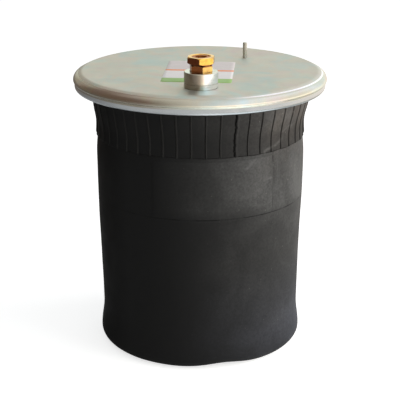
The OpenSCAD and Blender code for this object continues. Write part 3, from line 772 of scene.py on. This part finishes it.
def make_sleeve():
    """The sleeve in two closed pieces that meet under the lobe: the outer wall and the rolled-in wall."""
    section, bottom = lobe_section()
    pieces = []
    for name, part in (("sleeve_wall", section[:bottom + 1]), ("rolled_in_wall", section[bottom:])):
        piece = shell(name, sleeve_grid(part, 0.0), sleeve_grid(part, WALL_T))
        piece.data.materials.append(COVER_RUBBER)
        piece.data.materials.append(LINER_RUBBER)
        pieces.append(piece)
    wall, rolled = pieces
    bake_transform(wall)
    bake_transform(rolled)
    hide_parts("sleeve_cover", "cord_ply_outer", "cord_ply_inner", "inner_liner")


# The band: its ribs, the turn of the first in degrees, and the rib in whose place the splice lies
RIB_COUNT = 48
RIB_H = 0.9
FIRST_RIB = -4.4
SPLICE = 3
BAND_T = 1.3
BAND_EDGE_R = 1.3
# Depth of the splice's open joint, and height of the lap beside it
JOINT_DEPTH = 0.95
LAP_H = 0.95


def band_columns():
    """Turns of the band's columns, each with its offset in mm from its rib and the rib's number."""
    at_rib = [-1.9, -1.6, -1.35, -1.15, -1.0, -0.85, -0.7, -0.55, -0.4, -0.2, 0.0, 0.2, 0.4, 0.55, 0.7, 0.9,
              1.25]
    at_splice = [-3.4, -3.0, -2.6, -2.3, -2.0, -1.75, -1.5, -1.25, -1.0, -0.75, -0.5, -0.25, 0.0, 0.25, 0.5,
                 0.75, 1.0, 1.25, 1.5, 1.8, 2.2, 2.6, 3.0, 3.6, 4.2]
    pitch = 2 * math.pi * THROAT_R / RIB_COUNT
    columns = []
    for k in range(RIB_COUNT):
        centre = math.radians(FIRST_RIB + k * 360 / RIB_COUNT)
        offsets = at_splice if k == SPLICE else at_rib
        following = pitch + (at_splice if k + 1 == SPLICE else at_rib)[0]
        # The flat up to the next rib is crossed in even steps
        crossing = [mix(offsets[-1], following, i / 7) for i in range(1, 7)]
        columns += [(centre + d / THROAT_R, d, k) for d in offsets + crossing]
    return columns


def rib_wander(k, z):
    """How far a rib strays sideways at a height, in mm."""
    return 0.15 * noise.noise(Vector((k * 3.7, z * 0.045, 0.0)))


def splice_jag(z):
    """How far the splice's torn edge strays sideways at a height, in mm."""
    return 1.3 * noise.noise(Vector((2.0, z * 0.20, 5.0))) + 1.7 * noise.noise(Vector((9.0, z * 0.45, 5.0)))


def band_height(d, k, z):
    """Height over the band's face at an offset from rib k, in mm."""
    if k == SPLICE:
        e = d - splice_jag(z)
        if e < -1.1:
            return -0.15 * smooth((e + 3.0) / 1.9)
        if e < 0.45:
            return -JOINT_DEPTH * smooth((e + 1.35) / 0.5)
        return mix(-JOINT_DEPTH, LAP_H, smooth((e - 0.45) / 0.35)) * (1 - smooth((e - 1.6) / 2.2))
    e = d - rib_wander(k, z)
    return RIB_H * (1 - smooth((abs(e) - 0.28) / 0.42)) - 0.6 * foot_share(d, k, z)


def foot_share(d, k, z):
    """How deep a point lies in the crease at a rib's foot or in the splice's open joint, from 0 to 1."""
    if k == SPLICE:
        return smooth(-band_height(d, k, z) / 0.8)
    return math.exp(-((d - rib_wander(k, z) + 1.0) / 0.32) ** 2)


def make_fluted_band():
    """The band under the rim: moulded ribs, and a ragged splice with an open joint beside its lap."""
    columns = band_columns()
    levels = [z for z in (BAND_TOP - i * 1.5 for i in range(32)) if z > BAND_BOTTOM + 2.2]
    levels += [BAND_BOTTOM + v for v in (1.9, 1.3, 0.85, 0.5, 0.25, 0.08, 0.0)]
    outside, inside, crease_shade = [], [], []
    for z in levels:
        edge = z - BAND_BOTTOM
        # The lower edge is rounded over, and dips and rises a little
        fallen = max(0.0, (BAND_EDGE_R - edge) / BAND_EDGE_R)
        over = math.sqrt(max(0.0, 1 - fallen ** 2)) * 0.85 + 0.15
        row, back = [], []
        for turn, d, k in columns:
            sx, sy = math.sin(turn), math.cos(turn)
            ragged = 0.5 * noise.noise(Vector((sx * 9, sy * 9, 3.0))) * smooth(1 - edge / 9)
            face = (BAND_T - RUN_GAP + band_height(d, k, z)) * over + RUN_GAP
            face += 0.10 * noise.noise(Vector((sx * 22, sy * 22, z * 0.12)))
            # Painted shade under the band's lower edge; with the rib feet and the splice joint it goes to
            # the crease attribute
            under = (0.7 + 0.5 * noise.noise(Vector((turn * 40, 0.0, 8.0)))) * smooth((1.25 - edge) / 0.6)
            crease_shade.append(min(1.0, max(foot_share(d, k, z), under)))
            row.append(on_wall(turn, z + ragged, max(face, RUN_GAP + 0.12)))
            back.append(on_wall(turn, z + ragged, RUN_GAP * 0.5))
        outside.append(row)
        inside.append(back)
    band = shell("fluted_band", outside, inside)
    crease = band.data.attributes.new("crease", "FLOAT", "POINT")
    crease.data.foreach_set("value", crease_shade + [0.0] * len(crease_shade))
    band.data.materials.append(BAND_RUBBER)
    band.data.materials.append(BAND_RUBBER)
    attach(band, "plate")
    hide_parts("neck_band")


def make_bare_pad():
    """The plain pad vulcanised to the wall under the band, with rounded edges."""
    left, right = math.radians(-26), math.radians(42.4)
    edge_w, top_w = 1.8, 9.0
    cols = [0.0, 0.002, 0.005, 0.010, 0.018] + [0.03 + 0.94 * i / 60 for i in range(61)]
    cols += [0.982, 0.990, 0.995, 0.998, 1.0]
    rows = [0.0, 0.004, 0.010, 0.020] + [0.035 + 0.93 * i / 34 for i in range(35)]
    rows += [0.980, 0.990, 0.996, 1.0]
    outside, inside = [], []
    for v in rows:
        z = mix(PAD_TOP, PAD_BOTTOM, v)
        to_end = min(v, 1 - v) * (PAD_TOP - PAD_BOTTOM)
        row, back = [], []
        for u in cols:
            turn = mix(left, right, u)
            to_side = min(u, 1 - u) * (right - left) * CHEST_R
            over = min(smooth(to_side / edge_w), smooth(to_end / (edge_w if v > 0.5 else top_w)))
            row.append(on_wall(turn, z, 0.12 + 0.5 * over))
            back.append(on_wall(turn, z, 0.05))
        outside.append(row)
        inside.append(back)
    pad = shell("bare_pad", outside, inside, round_about=False)
    pad.data.materials.append(PAD_RUBBER)
    pad.data.materials.append(PAD_RUBBER)
    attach(pad, "plate")
    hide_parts("side_pad")


def make_label():
    """Thin label on the plate behind the boss, with rounded corners."""
    top_left, top_right = Vector((-34.8, 44.2)), Vector((40.5, 36.5))
    bottom_right, bottom_left = Vector((33.3, -70.9)), Vector((-42.6, -64.3))
    width, height, radius = 76.5, 108.2, 3.0
    outline = []
    for cu, cv, start in ((width - radius, height - radius, 0), (radius, height - radius, 90),
                          (radius, radius, 180), (width - radius, radius, 270)):
        for i in range(7):
            a = math.radians(start + 90 * i / 6)
            outline.append(((cu + radius * math.cos(a)) / width, (cv + radius * math.sin(a)) / height))
    ring = len(outline)

    def spot(u, v, z):
        p = top_left.lerp(top_right, u) * v + bottom_left.lerp(bottom_right, u) * (1 - v)
        return (p.x * MM, p.y * MM, z * MM)

    # The outline shrinks towards the middle in rings, so that the sheet can wave a little
    points, uvs, faces = [], [], []
    shares = [1.0, 0.995, 0.9, 0.75, 0.5, 0.25]
    for s in shares:
        for u, v in outline:
            x, y = 0.5 + (u - 0.5) * s, 0.5 + (v - 0.5) * s
            wave = 0.05 * (1 + noise.noise(Vector((x * 4, y * 5, 1.0))))
            points.append(spot(x, y, PLATE_TOP + (0.03 if s == 1.0 else 0.10 + wave)))
            uvs.append((x, y))
    points.append(spot(0.5, 0.5, PLATE_TOP + 0.14))
    uvs.append((0.5, 0.5))
    middle = len(points) - 1
    for start in range(0, middle - ring, ring):
        for i in range(ring):
            a, b = start + i, start + (i + 1) % ring
            faces.append((a, b, b + ring, a + ring))
    for i in range(ring):
        faces.append((middle - ring + i, middle - ring + (i + 1) % ring, middle))
    faces.append(tuple(reversed(range(ring))))
    label = mesh_object("plain_label", points, faces)
    layer = label.data.uv_layers.new(name="label")
    for loop in label.data.loops:
        layer.data[loop.index].uv = uvs[loop.vertex_index]
    label.data.materials.append(LABEL_PRINT)
    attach(label, "plate")


make_sleeve()
make_fluted_band()
make_bare_pad()
make_label()


def make_floor():
    """Pale floor that shows white to the camera and keeps the shadow.

    Gloss sees it glow in front, towards the right, and sees nothing of it further out.
    """
    material, g = bare_material("pale_floor")
    ray = g.add("ShaderNodeLightPath").outputs
    spot = g.add("ShaderNodeNewGeometry").outputs["Position"]
    across, back, _ = g.split(spot)
    in_front = g.times(g.between(back, -0.02, -0.14), g.between(across, -0.10, 0.14, 0.1, 2.1))
    shown = g.most(ray["Is Camera Ray"], ray["Is Transmission Ray"])
    shown = g.most(shown, g.times(ray["Is Glossy Ray"], in_front))
    plain = g.add("ShaderNodeBsdfDiffuse", {"Color": (0.80, 0.80, 0.79, 1)}).outputs[0]
    glow = g.add("ShaderNodeEmission", {"Color": (1, 1, 1, 1), "Strength": g.times(shown, 0.68)}).outputs[0]
    seen = g.add("ShaderNodeAddShader", {0: plain, 1: glow}).outputs[0]
    beyond = g.times(g.between(g.from_axis(spot), 0.48, 0.60), ray["Is Glossy Ray"])
    clear = g.add("ShaderNodeBsdfTransparent").outputs[0]
    shader = g.add("ShaderNodeMixShader", {0: beyond, 1: seen, 2: clear}).outputs[0]
    g.add("ShaderNodeOutputMaterial", {"Surface": shader})
    half = 6.0
    corners = [(-half, -half, 0), (half, -half, 0), (half, half, 0), (-half, half, 0)]
    floor = mesh_object("studio_floor", corners, [(0, 1, 2, 3)])
    floor.location.z = -0.2 * MM
    floor.data.materials.append(material)


# What gloss sees of the room. Sides: colour by how far to the right a reflection goes, from -1 to 1
ROOM_SIDES = [(-1.0, (0.17, 0.12, 0.09)), (-0.7, (0.23, 0.17, 0.14)), (-0.3, (0.64, 0.58, 0.53)),
              (0.0, (0.94, 0.86, 0.82)), (0.25, (1.04, 1.04, 1.10)), (0.5, (1.30, 1.32, 1.46)),
              (0.75, (1.34, 1.32, 1.42)), (1.0, (1.22, 1.12, 1.08))]
# Window behind, which the flat plate mirrors, by the same measure
ROOM_WINDOW = [(-0.4, (0.42, 0.37, 0.30)), (-0.24, (0.72, 0.70, 0.60)), (-0.1, (1.15, 1.22, 1.10)),
               (0.12, (1.07, 1.13, 1.06)), (0.24, (1.12, 1.13, 1.08))]
# Sunlit ground near the horizon and nearer paving, by the turn from the front in degrees
ROOM_GROUND = [(-180, (0.22, 0.19, 0.17)), (-110, (0.18, 0.15, 0.12)), (-67, (0.24, 0.20, 0.17)),
               (-30, (0.50, 0.46, 0.43)), (0, (1.30, 1.16, 1.06)), (15, (2.05, 1.72, 1.50)),
               (40, (2.10, 1.76, 1.70)), (66, (1.70, 1.62, 1.58)), (100, (1.78, 1.64, 1.50)),
               (130, (1.65, 1.48, 1.30)), (155, (1.15, 1.04, 0.92)), (180, (0.80, 0.78, 0.72))]
ROOM_PAVING = [(-180, (0.28, 0.28, 0.28)), (-100, (0.42, 0.42, 0.42)), (-67, (0.62, 0.62, 0.60)),
               (-38, (0.73, 0.72, 0.70)), (3, (0.80, 0.80, 0.77)), (65, (1.03, 0.99, 0.91)),
               (105, (1.14, 1.03, 0.89)), (150, (0.86, 0.78, 0.68)), (180, (0.60, 0.58, 0.54))]


def reflected_room(g, way):
    """Colour of the room by direction, as polished metal mirrors it."""
    across, back, up = way
    turn = g.turn(across, back)
    rise = g.math("DEGREES", g.math("ARCSINE", up))
    high_back = g.times(g.between(up, 0.45, 0.65), g.between(back, 0.3, 0.6))
    shifted = g.math("SUBTRACT", across, g.times(high_back, 0.26))
    room = g.ramp_over(shifted, -1.0, 1.0, ROOM_SIDES)
    window = g.times(g.between(back, 0.62, 0.80), g.between(up, 0.58, 0.42))
    room = g.blend(window, room, g.ramp_over(across, -1.0, 1.0, ROOM_WINDOW))
    room = g.blend(g.between(rise, 5, -2), room, g.ramp_over(turn, -180, 180, ROOM_GROUND))
    return g.blend(g.between(rise, -14, -19), room, g.ramp_over(turn, -180, 180, ROOM_PAVING))


def make_world():
    """White backdrop for the camera, the room for gloss, and an even sky for light."""
    world = bpy.data.worlds.new("pale_room")
    bpy.context.scene.world = world
    world.use_nodes = True
    world.node_tree.nodes.clear()
    g = Tree(world.node_tree)
    ray = g.add("ShaderNodeLightPath").outputs
    way = g.split(g.add("ShaderNodeTexCoord").outputs["Generated"])
    mirror = g.add("ShaderNodeBackground", {"Color": reflected_room(g, way), "Strength": 1.0}).outputs[0]
    sky = g.add("ShaderNodeBackground", {"Color": (0.95, 0.98, 1.0, 1), "Strength": 0.40}).outputs[0]
    white = g.add("ShaderNodeBackground", {"Color": (1, 1, 1, 1), "Strength": 1.0}).outputs[0]
    glossy = g.most(ray["Is Glossy Ray"], ray["Is Transmission Ray"])
    lit = g.add("ShaderNodeMixShader", {0: glossy, 1: sky, 2: mirror}).outputs[0]
    seen = g.add("ShaderNodeMixShader", {0: ray["Is Camera Ray"], 1: lit, 2: white}).outputs[0]
    g.add("ShaderNodeOutputWorld", {"Surface": seen})


def aim(obj, at):
    """Points a light at a place."""
    obj.rotation_mode = "QUATERNION"
    obj.rotation_quaternion = (Vector(at) - Vector(obj.location)).to_track_quat("-Z", "Y")


def soft_light(name, where, at, size, power, colour):
    """A rectangular lamp that lights the object and doesn't show, in gloss either."""
    data = bpy.data.lights.new(name, "AREA")
    data.shape = "RECTANGLE"
    data.size, data.size_y = size
    data.energy = power
    data.color = colour
    light = bpy.data.objects.new(name, data)
    bpy.context.scene.collection.objects.link(light)
    light.location = where
    aim(light, at)
    light.visible_camera = False
    light.visible_glossy = False


def make_camera():
    """Camera at the photo's viewing angle: its focal length is in pixels of a frame 400 pixels wide."""
    focal_px, frame_px, sensor = 1271.2, 400, 36.0
    in_front, over_plate, tilt_down = 1.3899, 0.3016, 0.318
    data = bpy.data.cameras.new("photo_camera")
    camera = bpy.data.objects.new("photo_camera", data)
    bpy.context.scene.collection.objects.link(camera)
    camera.location = (0.0, -in_front, PLATE_TOP * MM + over_plate)
    camera.rotation_euler = (math.pi / 2 - tilt_down, 0.0, 0.0)
    data.sensor_width = sensor
    data.lens = focal_px / frame_px * sensor
    data.shift_y = 0.005
    data.clip_start, data.clip_end = 0.05, 50.0
    bpy.context.scene.camera = camera


make_floor()
make_world()
WALL_MIDDLE, PLATE_MIDDLE = (0.0, 0.0, 0.2), (0.0, 0.0, 0.31)
soft_light("right_softbox", (1.33, -0.28, 0.66), WALL_MIDDLE, (1.8, 1.1), 24.0, (1.0, 0.985, 0.95))
soft_light("front_right_strip", (0.80, -1.14, 0.52), PLATE_MIDDLE, (1.7, 0.3), 3.0, (1.0, 0.95, 0.86))
soft_light("front_strip", (-0.05, -1.40, 0.52), PLATE_MIDDLE, (0.9, 0.3), 0.5, (1.0, 0.98, 0.95))
soft_light("back_right_window", (0.42, 1.05, 1.35), PLATE_MIDDLE, (0.5, 0.3), 0.6, (0.88, 0.95, 1.0))
make_camera()
bpy.context.scene.view_settings.view_transform = "Standard"
